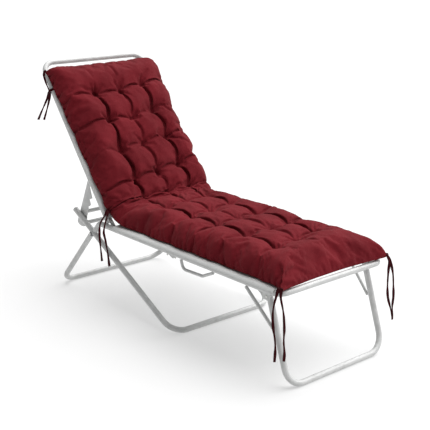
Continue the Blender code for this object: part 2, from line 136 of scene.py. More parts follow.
def make_camera():
    azimuth, elevation = VIEW_AZIMUTH, VIEW_ELEVATION
    back = Vector((math.sin(azimuth), -math.cos(azimuth), 0)) * math.cos(elevation)
    back.z = math.sin(elevation)
    right = Vector((math.cos(azimuth), math.sin(azimuth), 0))
    turn = Matrix((right, back.cross(right), back)).transposed() @ Matrix.Rotation(VIEW_ROLL, 3, "Z")
    data = bpy.data.cameras.new("camera")
    data.sensor_width = SENSOR
    data.lens = LENS
    data.clip_end = 200
    camera = bpy.data.objects.new("camera", data)
    camera.matrix_world = Matrix.Translation(VIEW_TARGET + back * VIEW_DISTANCE) @ turn.to_4x4()
    bpy.context.scene.collection.objects.link(camera)
    bpy.context.scene.camera = camera


# Materials


class Shader:
    """A Principled material, with short ways to add nodes to it."""

    def __init__(self, name, colour, roughness, **sockets):
        self.material = bpy.data.materials.new(name)
        self.material.use_nodes = True
        self.nodes = self.material.node_tree.nodes
        self.links = self.material.node_tree.links
        self.base = self.nodes["Principled BSDF"]
        self.base.inputs["Base Color"].default_value = (*colour, 1)
        self.base.inputs["Roughness"].default_value = roughness
        for socket, value in sockets.items():
            self.base.inputs[socket.replace("_", " ")].default_value = value

    def add(self, kind, inputs, **settings):
        node = self.nodes.new(kind)
        for name, value in settings.items():
            setattr(node, name, value)
        for name, value in inputs.items():
            if isinstance(value, bpy.types.NodeSocket):
                self.links.new(value, node.inputs[name])
            else:
                node.inputs[name].default_value = value
        return node

    def place(self, kind):
        """UV or Object coordinates, both in metres here."""
        return self.add("ShaderNodeTexCoord", {}).outputs[kind]

    def noise(self, place, scale, detail=3.0):
        inputs = {"Vector": place, "Scale": scale, "Detail": detail}
        return self.add("ShaderNodeTexNoise", inputs).outputs["Fac"]

    def wave(self, place, pitch, direction):
        """Bands a pitch apart, across X or Y."""
        inputs = {"Vector": place, "Scale": math.pi / 10 / pitch}
        return self.add("ShaderNodeTexWave", inputs, bands_direction=direction).outputs["Fac"]

    def math(self, operation, first, second):
        node = self.add("ShaderNodeMath", {0: first, 1: second}, operation=operation)
        return node.outputs["Value"]

    def spread(self, value, low, high, to_low=0.0, to_high=1.0):
        inputs = {"Value": value, "From Min": low, "From Max": high, "To Min": to_low, "To Max": to_high}
        return self.add("ShaderNodeMapRange", inputs).outputs["Result"]

    def colours(self, share, first, second):
        node = self.add("ShaderNodeMix", {"Factor": share}, data_type="RGBA")
        node.inputs[6].default_value = (*first, 1)
        node.inputs[7].default_value = (*second, 1)
        return node.outputs[2]

    def bump(self, height, distance, strength=1.0, under=None):
        inputs = {"Height": height, "Distance": distance, "Strength": strength}
        if under:
            inputs["Normal"] = under
        return self.add("ShaderNodeBump", inputs).outputs["Normal"]

    def into(self, socket, value):
        self.links.new(value, self.base.inputs[socket])


def cotton(name, dark, light, pitch, sheen):
    """Plain woven cotton: crossed threads, slubs, and a colour that varies from fold to fold."""
    sheen_colour = (1.0, 0.55, 0.5, 1.0)
    shader = Shader(name, light, 0.88, Sheen_Weight=sheen, Sheen_Roughness=0.45, Sheen_Tint=sheen_colour)
    shader.base.inputs["Specular IOR Level"].default_value = 0.10
    flat = shader.place("UV")
    solid = shader.place("Object")
    threads = shader.math("MULTIPLY", shader.wave(flat, pitch, "X"), shader.wave(flat, pitch, "Y"))
    slubs = shader.noise(flat, 260, 2.0)
    cloth = shader.bump(threads, 0.00025, 0.6)
    cloth = shader.bump(slubs, 0.0005, 0.35, cloth)
    shader.into("Normal", cloth)
    patches = shader.spread(shader.noise(solid, 7.0, 4.0), 0.35, 0.65)
    grain = shader.spread(slubs, 0.3, 0.7)
    share = shader.math("ADD", shader.math("MULTIPLY", patches, 0.7), shader.math("MULTIPLY", grain, 0.3))
    shader.into("Base Color", shader.colours(share, dark, light))
    return shader.material


def sling_cloth():
    """Pale grey woven sling: coarse threads lengthwise, finer ones across."""
    shader = Shader("sling_cloth", (0.45, 0.46, 0.46), 0.75)
    flat = shader.place("UV")
    along = shader.wave(flat, 0.0042, "X")
    across = shader.wave(flat, 0.0016, "Y")
    threads = shader.math("MAXIMUM", along, shader.math("MULTIPLY", across, 0.7))
    shader.into("Normal", shader.bump(threads, 0.0004, 0.7))
    tone = shader.math("MULTIPLY", threads, shader.spread(shader.noise(flat, 40, 3.0), 0.3, 0.7, 0.7, 1.0))
    shader.into("Base Color", shader.colours(tone, (0.46, 0.465, 0.46), (0.62, 0.63, 0.62)))
    return shader.material


def painted_tube():
    """Pale grey satin paint with a fine orange peel and faint handling marks."""
    shader = Shader("painted_tube", (0.58, 0.59, 0.59), 0.34, Coat_Weight=0.25, Coat_Roughness=0.18)
    solid = shader.place("Object")
    marks = shader.noise(solid, 30, 6.0)
    shader.into("Roughness", shader.spread(marks, 0.3, 0.7, 0.26, 0.46))
    blend = shader.spread(marks, 0.35, 0.65)
    shader.into("Base Color", shader.colours(blend, (0.47, 0.475, 0.47), (0.55, 0.555, 0.55)))
    shader.into("Normal", shader.bump(shader.noise(solid, 420, 1.0), 0.0002, 0.25))
    return shader.material


def plain_metal():
    shader = Shader("zinc_fixing", (0.62, 0.62, 0.60), 0.38, Metallic=0.9)
    solid = shader.place("Object")
    shader.into("Roughness", shader.spread(shader.noise(solid, 180, 4.0), 0.3, 0.7, 0.28, 0.5))
    shader.into("Normal", shader.bump(shader.noise(solid, 900, 2.0), 0.0001, 0.3))
    return shader.material


def cap_plastic():
    shader = Shader("cap_plastic", (0.30, 0.30, 0.31), 0.5)
    solid = shader.place("Object")
    grain = shader.noise(solid, 700, 2.0)
    shader.into("Normal", shader.bump(grain, 0.0001, 0.4))
    shader.into("Roughness", shader.spread(grain, 0.3, 0.7, 0.42, 0.6))
    return shader.material


# Meshes


def link(name, data, surface, nodes):
    """An object that rides on the one body, takes the given material and hides the CAD nodes that it stands
    for.
    """
    obj = bpy.data.objects.new(name, data)
    data.materials.append(surface)
    bpy.context.scene.collection.objects.link(obj)
    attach(obj, "root")
    if nodes:
        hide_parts(*nodes)
    return obj


def grid_faces(index):
    """Quads between the rows and columns of a table of vertex numbers."""
    quads = np.stack([index[:-1, :-1], index[:-1, 1:], index[1:, 1:], index[1:, :-1]], axis=-1)
    return quads.reshape(-1, 4)


def mesh_from(name, points, faces, flat=None):
    """A smooth mesh, with a UV map where flat gives each point's place on the cloth in metres."""
    mesh = bpy.data.meshes.new(name)
    mesh.from_pydata(points.tolist(), [], list(faces))
    if flat is not None:
        corner = np.empty(len(mesh.loops), dtype=np.int32)
        mesh.loops.foreach_get("vertex_index", corner)
        layer = mesh.uv_layers.new(name="cloth")
        layer.uv.foreach_set("vector", flat[corner].astype(np.float32).ravel())
    mesh.shade_smooth()
    return mesh


def both(names):
    """The names of the nodes on the left and on the right."""
    return [f"{name}_{side}" for name in names for side in ("left", "right")]


def mirrored(points):
    return [(-x, y, z) for x, y, z in points]


# Ties: the routes repeat the frame's


def smooth_route(points, steps=5):
    """A smooth line through the points."""
    points = [Vector(point) for point in points]
    padded = [2 * points[0] - points[1], *points, 2 * points[-1] - points[-2]]
    line = []
    for corners in zip(padded, padded[1:], padded[2:], padded[3:]):
        line += [between(*corners, step / steps) for step in range(steps)]
    line.append(points[-1])
    return line


def ribbon(name, line, wide, surface, nodes, bunched=0.0):
    """A folded tape along a line. wide lists the directions of its width, spread evenly over its length."""
    count = len(line)
    wide = [Vector(direction).normalized() for direction in wide]
    section = []
    for step in range(12):
        angle = math.tau * (step + 0.5) / 12
        reach = math.copysign(abs(math.cos(angle)) ** 0.35, math.cos(angle))
        section.append((reach * TAPE_WIDTH / 2, math.sin(angle) * ROLLED_THICK / 2))
    points, flat = [], []
    walked = 0.0
    for number, point in enumerate(line):
        ahead = line[min(number + 1, count - 1)] - line[max(number - 1, 0)]
        ahead.normalize()
        place = number / (count - 1) * (len(wide) - 1)
        low = min(int(place), len(wide) - 2)
        across = wide[low].lerp(wide[low + 1], place - low)
        across = (across - ahead * across.dot(ahead)).normalized()
        out = ahead.cross(across)
        if number:
            walked += (point - line[number - 1]).length
        full = 1 + bunched * math.exp(-walked / 0.012)
        slack = 0.86 + 0.22 * math.sin(walked / 0.021 + 60 * line[0].x) + 0.08 * math.sin(walked / 0.008)
        for side, off in section:
            points.append(point + across * side * (0.6 + 0.4 * full) * slack + out * off * full)
            flat.append((side, walked))
    ring = np.arange(count * 12).reshape(count, 12)
    index = np.concatenate([ring, ring[:, :1]], axis=1)
    faces = grid_faces(index).tolist()
    faces += [ring[0][::-1].tolist(), ring[-1].tolist()]
    mesh = bpy.data.meshes.new(name)
    mesh.from_pydata(points, [], faces)
    corner = np.empty(len(mesh.loops), dtype=np.int32)
    mesh.loops.foreach_get("vertex_index", corner)
    mesh.uv_layers.new(name="cloth").uv.foreach_set("vector", np.array(flat, np.float32)[corner].ravel())
    mesh.shade_smooth()
    mesh.set_sharp_from_angle(angle=math.radians(50))
    return link(name, mesh, surface, nodes)


def hanging_tape(name, points, wide, surface, nodes):
    """A tape that leaves the cushion and hangs free."""
    line = smooth_route(points)
    obj = ribbon(name, line, wide, surface, nodes, 1.2)
    return obj


FOOT_LEFT_A = [(-0.3020, -0.7950, 0.4105), (-0.3040, -0.789, 0.396), (-0.3050, -0.782, 0.372)]
FOOT_LEFT_A += [(-0.3080, -0.774, 0.334), (-0.3090, -0.771, 0.295), (-0.3080, -0.774, 0.250)]
FOOT_LEFT_A += [(-0.3040, -0.780, 0.205), (-0.3030, -0.783, 0.165), (-0.3040, -0.781, 0.113)]
FOOT_LEFT_B = [(-0.2970, -0.8010, 0.4105), (-0.3000, -0.802, 0.396), (-0.3010, -0.803, 0.372)]
FOOT_LEFT_B += [(-0.2970, -0.810, 0.334), (-0.2950, -0.815, 0.300), (-0.2940, -0.818, 0.250)]
FOOT_LEFT_B += [(-0.2945, -0.817, 0.205), (-0.2920, -0.820, 0.160), (-0.2930, -0.819, 0.126)]
FOOT_RIGHT_A = [(0.2970, -0.8020, 0.4105), (0.3000, -0.804, 0.397), (0.3050, -0.808, 0.378)]
FOOT_RIGHT_A += [(0.3060, -0.806, 0.330), (0.3060, -0.806, 0.276), (0.3090, -0.809, 0.226)]
FOOT_RIGHT_A += [(0.3160, -0.817, 0.186), (0.3210, -0.822, 0.160), (0.3240, -0.826, 0.135)]
FOOT_RIGHT_B = [(0.3029, -0.7950, 0.4105), (0.3085, -0.796, 0.398), (0.3140, -0.806, 0.380)]
FOOT_RIGHT_B += [(0.3180, -0.820, 0.330), (0.3190, -0.826, 0.274), (0.3190, -0.829, 0.229)]
FOOT_RIGHT_B += [(0.3155, -0.829, 0.190), (0.3165, -0.831, 0.160), (0.3170, -0.832, 0.132)]
MIDDLE_LEFT_A = [(-0.2872, 0.3095, 0.4560), (-0.3015, 0.304, 0.4490), (-0.3140, 0.300, 0.435)]
MIDDLE_LEFT_A += [(-0.3280, 0.300, 0.419), (-0.3400, 0.300, 0.400), (-0.3440, 0.300, 0.362)]
MIDDLE_LEFT_A += [(-0.3430, 0.300, 0.326), (-0.3390, 0.300, 0.276), (-0.3350, 0.300, 0.228)]
MIDDLE_LEFT_B = [(-0.2882, 0.3030, 0.4490), (-0.3010, 0.292, 0.4500), (-0.3110, 0.288, 0.430)]
MIDDLE_LEFT_B += [(-0.3200, 0.288, 0.405), (-0.3250, 0.288, 0.388), (-0.3290, 0.288, 0.360)]
MIDDLE_LEFT_B += [(-0.3210, 0.288, 0.324), (-0.3110, 0.288, 0.263), (-0.3040, 0.288, 0.199)]


def back_point(along, off=0.0, x=0.0):
    """A point on the back, along its rails from the hinge and off their plane, towards the sitter."""
    y = HINGE_Y + along * math.cos(BACK_ANGLE) - off * math.sin(BACK_ANGLE)
    z = SEAT_HEIGHT + along * math.sin(BACK_ANGLE) + off * math.cos(BACK_ANGLE)
    return (x, y, z)


def ties(surface):
    foot = {
        "tie_foot_left_a": (
            FOOT_LEFT_A,
            [(0.1, -1, 0), (0.8, -0.6, 0), (1, -0.3, 0), (0.5, -0.9, 0), (0.9, -0.6, 0)],
        ),
        "tie_foot_left_b": (
            FOOT_LEFT_B,
            [(0.1, -1, 0), (0.6, -0.8, 0), (0.9, -0.2, 0), (1, -0.6, 0), (0.6, -0.8, 0)],
        ),
        "tie_foot_right_a": (
            FOOT_RIGHT_A,
            [(1, 0, 0), (1, -0.4, 0), (0.6, -0.8, 0), (1, -0.5, 0), (0.9, -0.1, 0)],
        ),
        "tie_foot_right_b": (
            FOOT_RIGHT_B,
            [(0.1, -1, 0), (0.7, -0.7, 0), (1, -0.3, 0), (0.6, -0.8, 0), (1, -0.4, 0)],
        ),
    }
    for name, (points, wide) in foot.items():
        hanging_tape(name, points, wide, surface, [name])
    for side, turned, sign in (("left", list, 1), ("right", mirrored, -1)):
        seam = (0.5 * sign, -0.65, -0.57)
        wide = [seam, (0.4 * sign, -0.9, -0.3), (0.8 * sign, -0.7, 0)]
        wide += [(0.6 * sign, -0.8, 0), (0.9 * sign, -0.4, 0)]
        name = f"tie_middle_{side}_a"
        hanging_tape(name, turned(MIDDLE_LEFT_A), wide, surface, [name])
        name = f"tie_middle_{side}_b"
        hanging_tape(name, turned(MIDDLE_LEFT_B), wide, surface, [name])
        head_tie(side, turned, surface)


def head_tie(side, turned, surface):
    """A tape from the corner to a knot on the rail, a turn round it, and the two loose ends."""
    ring_r = TUBE_CORNER_R + TAPE_THICK / 2 + 2 * GAP
    x = -HALF_WIDTH - ring_r - TAPE_THICK / 2 - GAP - KNOT_SIZE[0] / 2
    _, y, z = back_point(KNOT_ALONG, 0.001)
    knot = knot_piece(f"tie_head_{side}_knot", turned([(x, y, z)])[0], surface)

    ring = []
    for step in range(29):
        angle = math.radians(5 + 12.5 * step)
        ring.append(Vector(turned([back_point(KNOT_ALONG, ring_r * math.sin(angle),
                                              -HALF_WIDTH - ring_r * math.cos(angle))])[0]))
    along = Vector((0, math.cos(BACK_ANGLE), math.sin(BACK_ANGLE)))
    name = f"tie_head_{side}_turn"
    obj = ribbon(name, ring, [along, along], surface, [name])

    upper = [(-0.3030, 0.7640, 1.0290), (-0.3060, 0.774, 1.019), (-0.3060, 0.779, 1.002)]
    upper += [(-0.3060, 0.762, 0.970), (x, y + 0.0045, z + 0.0058)]
    line = smooth_route(turned(upper))
    name = f"tie_head_{side}_a"
    sign = math.copysign(1, -line[0].x)
    wide = [(0.5 * sign, -0.9, 0), (0.8 * sign, -0.6, 0), (0.6 * sign, -0.8, 0)]
    obj = ribbon(name, line, wide, surface, [name])

    tail_a = [(x, y + 0.0020, z - 0.0081), (x - 0.004, y + 0.014, z - 0.036)]
    tail_a += [(x - 0.011, y + 0.050, z - 0.092), (x - 0.014, y + 0.088, z - 0.146)]
    tail_b = [(x, y - 0.0018, z - 0.0082), (x + 0.001, y + 0.004, z - 0.036)]
    tail_b += [(x + 0.001, y + 0.030, z - 0.090), (x - 0.002, y + 0.056, z - 0.144)]
    for name, tail, last in (("tail_a", tail_a, (1.0, -0.4)), ("tail_b", tail_b, (0.6, -0.9))):
        name = f"tie_head_{side}_{name}"
        wide = [(0.6 * sign, -0.8, 0), (0.8 * sign, -0.6, 0), (last[0] * sign, last[1], 0)]
        hanging_tape(name, turned(tail), wide, surface, [name])


def knot_piece(name, place, surface):
    """A tied tape's knot: three wraps over a small body, pressed together."""
    count, around = 40, 16
    wide, deep, high = (size / 2 for size in KNOT_SIZE)
    points = []
    for row in range(count + 1):
        polar = math.pi * row / count
        for column in range(around):
            angle = math.tau * column / around
            wrap = 1 + 0.10 * math.cos(6 * polar + 1.2 * math.sin(angle)) * math.sin(polar)
            reach = math.sin(polar) ** 0.8 * wrap
            points.append((place[0] + wide * reach * math.cos(angle),
                           place[1] + deep * reach * math.sin(angle),
                           place[2] + high * math.cos(polar)))
    index = np.arange((count + 1) * around).reshape(count + 1, around)
    index = np.concatenate([index, index[:, :1]], axis=1)
    mesh = mesh_from(name, np.array(points), grid_faces(index), np.array(points)[:, 1:])
    clean = bmesh.new()
    clean.from_mesh(mesh)
    bmesh.ops.remove_doubles(clean, verts=clean.verts, dist=1e-6)
    clean.to_mesh(mesh)
    clean.free()
    return link(name, mesh, surface, [name])


# Lounger


def rounded(corners, bends, steps=14):
    """The corners joined by straight runs, with an arc of its own radius at each inner corner."""
    corners = [Vector(corner) for corner in corners]
    points = [corners[0]]
    for before, corner, after, bend in zip(corners, corners[1:], corners[2:], bends):
        inward = (before - corner).normalized()
        outward = (after - corner).normalized()
        half_turn = (math.pi - inward.angle(outward)) / 2
        setback = bend * math.tan(half_turn)
        centre = corner + (inward + outward).normalized() * (bend / math.cos(half_turn))
        start = corner + inward * setback - centre
        axis = start.cross(corner + outward * setback - centre).normalized()
        for step in range(steps + 1):
            turn = Matrix.Rotation(2 * half_turn * step / steps, 3, axis)
            points.append(centre + turn @ start)
    points.append(corners[-1])
    return points


def tube(name, points, radius, surface, nodes, bevel=10):
    """A smooth round tube along the points."""
    curve = bpy.data.curves.new(name, "CURVE")
    curve.dimensions = "3D"
    curve.twist_mode = "Z_UP"
    curve.bevel_depth = radius
    curve.bevel_resolution = bevel
    curve.use_fill_caps = True
    spline = curve.splines.new("POLY")
    spline.points.add(len(points) - 1)
    for target, point in zip(spline.points, points):
        target.co = (*point, 1)
    return link(name, curve, surface, nodes)


def across(points):
    """A route on the left and its mirror image on the right, as one line from left to right."""
    return [*points, *[(-x, y, z) for x, y, z in reversed(points)]]


def rear_run():
    crossing_y, crossing_z = CROSSING
    return Vector((0, REAR_LEG["floor_y"] - crossing_y, TUBE_R - crossing_z)).normalized()


def frame_tubes(surface):
    crossing = Vector((-HALF_WIDTH, *CROSSING))
    reach = (SEAT_HEIGHT - crossing.z) / -rear_run().z
    elbow = crossing - rear_run() * reach
    stub = crossing - rear_run() * CROSSING_CLEAR
    seat = across([stub, elbow, (-HALF_WIDTH, FOOT_Y, SEAT_HEIGHT)])
    seat = rounded(seat, (ELBOW_BEND, SEAT_BEND, SEAT_BEND, ELBOW_BEND))
    tube("seat_frame", seat, TUBE_R, surface, both(["seat_rail"]) + ["foot_bar"])

    start = (TUBE_R + GAP + TUBE_R * math.cos(BACK_ANGLE)) / math.sin(BACK_ANGLE)
    back = across([back_point(start, x=-HALF_WIDTH), back_point(BACK_LENGTH, x=-HALF_WIDTH)])
    back = rounded(back, (BACK_BEND, BACK_BEND))
    tube("back_frame", back, TUBE_R, surface, both(["back_rail"]) + ["top_bar"])


def leg(name, half, floor_y, top, surface):
    line = rounded(across([top, (-half, floor_y, TUBE_R)]), (LEG_BEND, LEG_BEND))
    tube(name + "_frame", line, TUBE_R, surface, both([name]) + [name + "_floor_bar"])


def legs(surface):
    lean = math.atan2(FRONT_LEG["top_y"] - FRONT_LEG["floor_y"], SEAT_HEIGHT - TUBE_R)
    top_z = SEAT_HEIGHT - TUBE_R - GAP - TUBE_R * math.sin(lean)
    top_y = FRONT_LEG["floor_y"] + (top_z - TUBE_R) * math.tan(lean)
    leg("front_leg", FRONT_LEG["half"], FRONT_LEG["floor_y"], (-FRONT_LEG["half"], top_y, top_z), surface)

    crossing_y, crossing_z = CROSSING
    run = Vector((0, crossing_y - MIDDLE_LEG["floor_y"], crossing_z - TUBE_R)).normalized()
    top = Vector((-MIDDLE_LEG["half"], MIDDLE_LEG["floor_y"], TUBE_R)) + run * MIDDLE_LEG["reach"]
    leg("middle_leg", MIDDLE_LEG["half"], MIDDLE_LEG["floor_y"], top, surface)

    top = Vector((-REAR_LEG["half"], crossing_y, crossing_z)) + rear_run() * REAR_LEG_CLEAR
    leg("rear_leg", REAR_LEG["half"], REAR_LEG["floor_y"], top, surface)


def rods(surface):
    lean = math.atan2(FRONT_LEG["top_y"] - FRONT_LEG["floor_y"], SEAT_HEIGHT - TUBE_R)
    low_z, top_y = 0.224, -0.600
    leg_y = FRONT_LEG["floor_y"] + (low_z - TUBE_R) * math.tan(lean)
    slope = math.atan2(top_y - leg_y, SEAT_HEIGHT - low_z)
    off = TUBE_CORNER_R + GAP + ROD_R * math.cos(slope - lean)
    low = (-FRONT_LEG["half"], leg_y + off / math.cos(lean), low_z)
    top = (-HALF_WIDTH, top_y, SEAT_HEIGHT - TUBE_R - GAP - ROD_R * math.sin(slope))
    rail_low = SEAT_HEIGHT - TUBE_R - GAP
    loop = [(-HALF_WIDTH, -0.2085, rail_low - 0.32 * LOOP_R), (-HALF_WIDTH, -0.222, rail_low - 0.041)]
    loop += [(-HALF_WIDTH, -0.345, rail_low - 0.037), (-HALF_WIDTH, -0.410, rail_low - 0.92 * LOOP_R)]
    for side, turned in (("left", list), ("right", mirrored)):
        tube(f"brace_rod_{side}_rod", turned([top, low]), ROD_R, surface, [f"brace_rod_{side}"], 6)
        bent = rounded(turned(loop), (0.026, 0.030), 10)
        tube(f"under_loop_{side}_rod", bent, LOOP_R, surface, [f"under_loop_{side}"], 6)
    half = HALF_WIDTH - TUBE_R - GAP - PLATE - GAP
    for name, (y, z) in STOP_BARS.items():
        tube(name + "_rod", [(-half, y, z), (half, y, z)], BAR_R, surface, [name], 8)


def turned_part(name, place, axis, outline, surface):
    """A small round part: outline lists (radius, height) from its base to its top along the axis."""
    turn = Vector(axis).normalized().to_track_quat("Z", "Y")
    around = 24
    points = []
    for radius, height in outline:
        for step in range(around):
            angle = math.tau * step / around
            spot = Vector((radius * math.cos(angle), radius * math.sin(angle), height))
            points.append(tuple(Vector(place) + turn @ spot))
    index = np.arange(len(points)).reshape(len(outline), around)
    faces = grid_faces(np.concatenate([index, index[:, :1]], axis=1)).tolist()
    faces.append(index[-1].tolist())
    faces.append(index[0][::-1].tolist())
    return link(name, mesh_from(name, np.array(points), faces), surface, [])


def dome(radius, height):
    """The outline of a low rivet head or a plug's end, with an eased rim."""
    outline = [(radius * 0.96, -0.0008), (radius, 0.0)]
    for step in range(1, 8):
        angle = math.pi / 2 * step / 8
        outline.append((radius * math.cos(angle) ** 0.7, height * math.sin(angle)))
    outline.append((radius * 0.05, height))
    return outline


def fixings(metal, plastic):
    """Plugs in the tubes' open ends, and rivets where plates and tubes are joined."""
    crossing_y, crossing_z = CROSSING
    run = Vector((0, crossing_y - MIDDLE_LEG["floor_y"], crossing_z - TUBE_R)).normalized()
    middle_top = Vector((-MIDDLE_LEG["half"], MIDDLE_LEG["floor_y"], TUBE_R)) + run * MIDDLE_LEG["reach"]
    crossing = Vector((-REAR_LEG["half"], crossing_y, crossing_z))
    rear_top = crossing + rear_run() * REAR_LEG_CLEAR
    rail_side = -HALF_WIDTH - TUBE_R
    plate_side = -HALF_WIDTH + TUBE_R + GAP
    rivets = [(-REAR_LEG["half"] - TUBE_R, crossing_y, crossing_z, 0.0065)]
    rivets += [(rail_side, HINGE_Y, SEAT_HEIGHT, 0.0060)]
    rivets += [(plate_side, *STOP_BARS["stop_bar_lower"], 0.0070)]
    rivets += [(plate_side, *STOP_BARS["stop_bar_upper"], 0.0055)]
    rivets += [(plate_side, -0.155, 0.351, 0.0045), (plate_side, -0.101, 0.351, 0.0045)]
    rivets.append((-0.2863, -0.7125, 0.349, 0.0055))
    for side, sign in (("left", 1), ("right", -1)):
        flip = Vector((sign, 1, 1))
        turned_part(f"middle_leg_{side}_plug", middle_top * flip, run, dome(TUBE_R * 1.03, 0.003), plastic)
        plug = dome(TUBE_R * 1.02, 0.003)
        turned_part(f"rear_leg_{side}_plug", rear_top * flip, -rear_run(), plug, plastic)
        for number, (x, y, z, radius) in enumerate(rivets):
            head = dome(radius, 0.0025)
            turned_part(f"rivet_{side}_{number}", (x * sign, y, z), (-sign, 0, 0), head, metal)


def plates(surface):
    """The sheet metal plates, with their edges eased."""
    for name in both(["ratchet_plate", "hinge_plate", "break_plate", "leg_bracket"]):
        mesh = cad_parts[name].data.copy()
        mesh.materials.clear()
        piece = link(name + "_sheet", mesh, surface, [name])
        clean = bmesh.new()
        clean.from_mesh(mesh)
        bmesh.ops.remove_doubles(clean, verts=clean.verts, dist=1e-5)
        bmesh.ops.dissolve_limit(clean, angle_limit=math.radians(1), verts=clean.verts, edges=clean.edges)
        clean.to_mesh(mesh)
        clean.free()
        mesh.shade_smooth()
        ease = piece.modifiers.new("eased edges", "BEVEL")
        ease.width = 0.0007
        ease.segments = 2
        ease.limit_method = "ANGLE"
        ease.harden_normals = True


def sling_profile(steps=14):
    """Across the lounger: (x, height, walked) of the cloth's underside, from one edge to the other."""
    radius = TUBE_CORNER_R + GAP
    side = []
    for step in range(steps + 1):
        angle = SLING_WRAP * (1 - step / steps)
        side.append((-HALF_WIDTH - radius * math.sin(angle), radius * math.cos(angle)))
    flat = [(-HALF_WIDTH + 2 * HALF_WIDTH * step / 24, radius) for step in range(1, 24)]
    profile = side + flat + [(-x, height) for x, height in reversed(side)]
    walked = [0.0]
    for before, after in zip(profile, profile[1:]):
        walked.append(walked[-1] + math.dist(before, after))
    return [(x, height, share) for (x, height), share in zip(profile, walked)]


def sling(name, frame_point, ends, surface):
    """A sheet stretched from rail to rail, with a hem at each end."""
    profile = sling_profile()
    hem_rows = np.linspace(0.0, HEM + 0.004, 24)
    middle_rows = np.linspace(ends[0] + HEM + 0.006, ends[1] - HEM - 0.006, 50)
    rows = np.concatenate([ends[0] + hem_rows, middle_rows, (ends[1] - hem_rows)[::-1]])
    points, flat = [], []
    for along in rows:
        to_end = min(along - ends[0], ends[1] - along)
        hem = HEM_LIFT * min(1.0, max(0.0, (HEM - to_end) / 0.002 + 0.5))
        stitch = 0.0006 * math.exp(-(((to_end - HEM + 0.005) / 0.0012) ** 2))
        for x, height, walked in profile:
            points.append(frame_point(x, along, height + hem - stitch))
            flat.append((walked, along))
    index = np.arange(len(points)).reshape(len(rows), len(profile))
    mesh = mesh_from(name + "_cloth", np.array(points), grid_faces(index), np.array(flat))
    piece = link(name + "_cloth", mesh, surface, [name])
    thick = piece.modifiers.new("cloth", "SOLIDIFY")
    thick.thickness = SLING
    thick.offset = 1
    return piece


def slings(surface):
    def on_seat(x, y, height):
        return x, y, SEAT_HEIGHT + height

    def on_back(x, along, height):
        return back_point(along, height, x)

    sling("seat_sling", on_seat, SEAT_SLING, surface)
    sling("back_sling", on_back, BACK_SLING, surface)


# Cushion


def cushion_path(s, height):
    """(y, z) at s along the cushion's underside and height above it, for arrays of both."""
    lift = TUBE_CORNER_R + GAP + SLING + GAP
    tangent = BEND_R * math.tan(BACK_ANGLE / 2)
    corner_y = HINGE_Y - lift * math.tan(BACK_ANGLE / 2)
    corner_z = SEAT_HEIGHT + lift
    bend_start = corner_y - tangent - CUSHION_FOOT_Y
    turn = np.clip((s - bend_start) / BEND_R, 0.0, BACK_ANGLE)
    before = np.minimum(s - bend_start, 0.0)
    beyond = np.maximum(s - bend_start - BEND_R * BACK_ANGLE, 0.0)
    y = corner_y - tangent + before + (BEND_R - height) * np.sin(turn) + beyond * np.cos(turn)
    z = corner_z + BEND_R - (BEND_R - height) * np.cos(turn) + beyond * np.sin(turn)
    return y, z


def even_places(length, steps, low_rim, high_rim, marks=(), crowding=0.0):
    """Places from one seam to the other, even along the cloth or crowded at the marks."""
    fine = np.linspace(0.0, length, 4000)
    rise = 0.075 * rim(fine, low_rim) * rim(length - fine, high_rim)
    pace = np.hypot(np.diff(fine), np.diff(rise))
    for mark in marks:
        pace = pace * (1 + crowding * np.exp(-(((fine[1:] - mark) / 0.014) ** 2)))
    walked = np.concatenate([[0.0], np.cumsum(pace)])
    return np.interp(np.linspace(0.0, walked[-1], steps + 1), walked, fine)


def rim(distance, reach):
    """0 at the seam, rising steeply to 1 on the top: the round side of the cushion."""
    share = np.clip(distance / reach, 0.0, 1.0)
    return np.sqrt(1 - (1 - share) ** 2.4)


def crease(distance, reach):
    """1 at the bottom of a crease between two full puffs, 0 on top of them."""
    share = np.clip(distance / reach, 0.0, 1.0)
    return 1 - np.sqrt(1 - (1 - share) ** 2)


def field(x, s, scale, seed):
    """Smooth noise over the cloth, about -1 to 1."""
    flat = np.stack([x.ravel() * scale, s.ravel() * scale], axis=1)
    values = [noise.noise(Vector((u, v, seed))) for u, v in flat.tolist()]
    return np.array(values).reshape(x.shape) * 2.0


def place_between(values, marks):
    """Each value's place, from 0 to 1, between the two marks on either side of it."""
    marks = np.array(marks)
    cell = np.clip(np.searchsorted(marks, values) - 1, 0, len(marks) - 2)
    place = (values - marks[cell]) / (marks[cell + 1] - marks[cell])
    return np.clip(place, 0.0, 1.0)


def puckers(place, up, low, high, gap, depth, seed):
    """Gathers that run up from a seam, at uneven places and to uneven heights."""
    pick = random.Random(seed)
    total = np.zeros(place.shape)
    at = low
    while at < high:
        width = pick.uniform(0.004, 0.008)
        lean = pick.uniform(-0.35, 0.35)
        reach = pick.uniform(0.022, 0.060)
        deep = depth * pick.uniform(0.35, 1.0)
        line = np.exp(-(((place - at - lean * up) / width) ** 2))
        total += deep * line * np.exp(-((up / reach) ** 2))
        at += gap * pick.uniform(0.6, 1.4)
    return total


def between(before, start, end, after, t):
    """A point on the smooth line from start to end, at t from 0 to 1."""
    bend = (end - before) * t + (2 * before - 5 * start + 4 * end - after) * t**2
    return 0.5 * (2 * start + bend + (3 * start - before - 3 * end + after) * t**3)


def resampled(grid, old, new):
    """The grid's rows at new places, on smooth lines through those at the old places."""
    spot = np.interp(new, old, np.arange(len(old)))
    cell = np.clip(spot.astype(int), 0, len(old) - 2)
    padded = np.concatenate([2 * grid[:1] - grid[1:2], grid, 2 * grid[-1:] - grid[-2:-1]])
    rows = [padded[cell + step] for step in range(4)]
    return between(*rows, (spot - cell)[:, None, None])


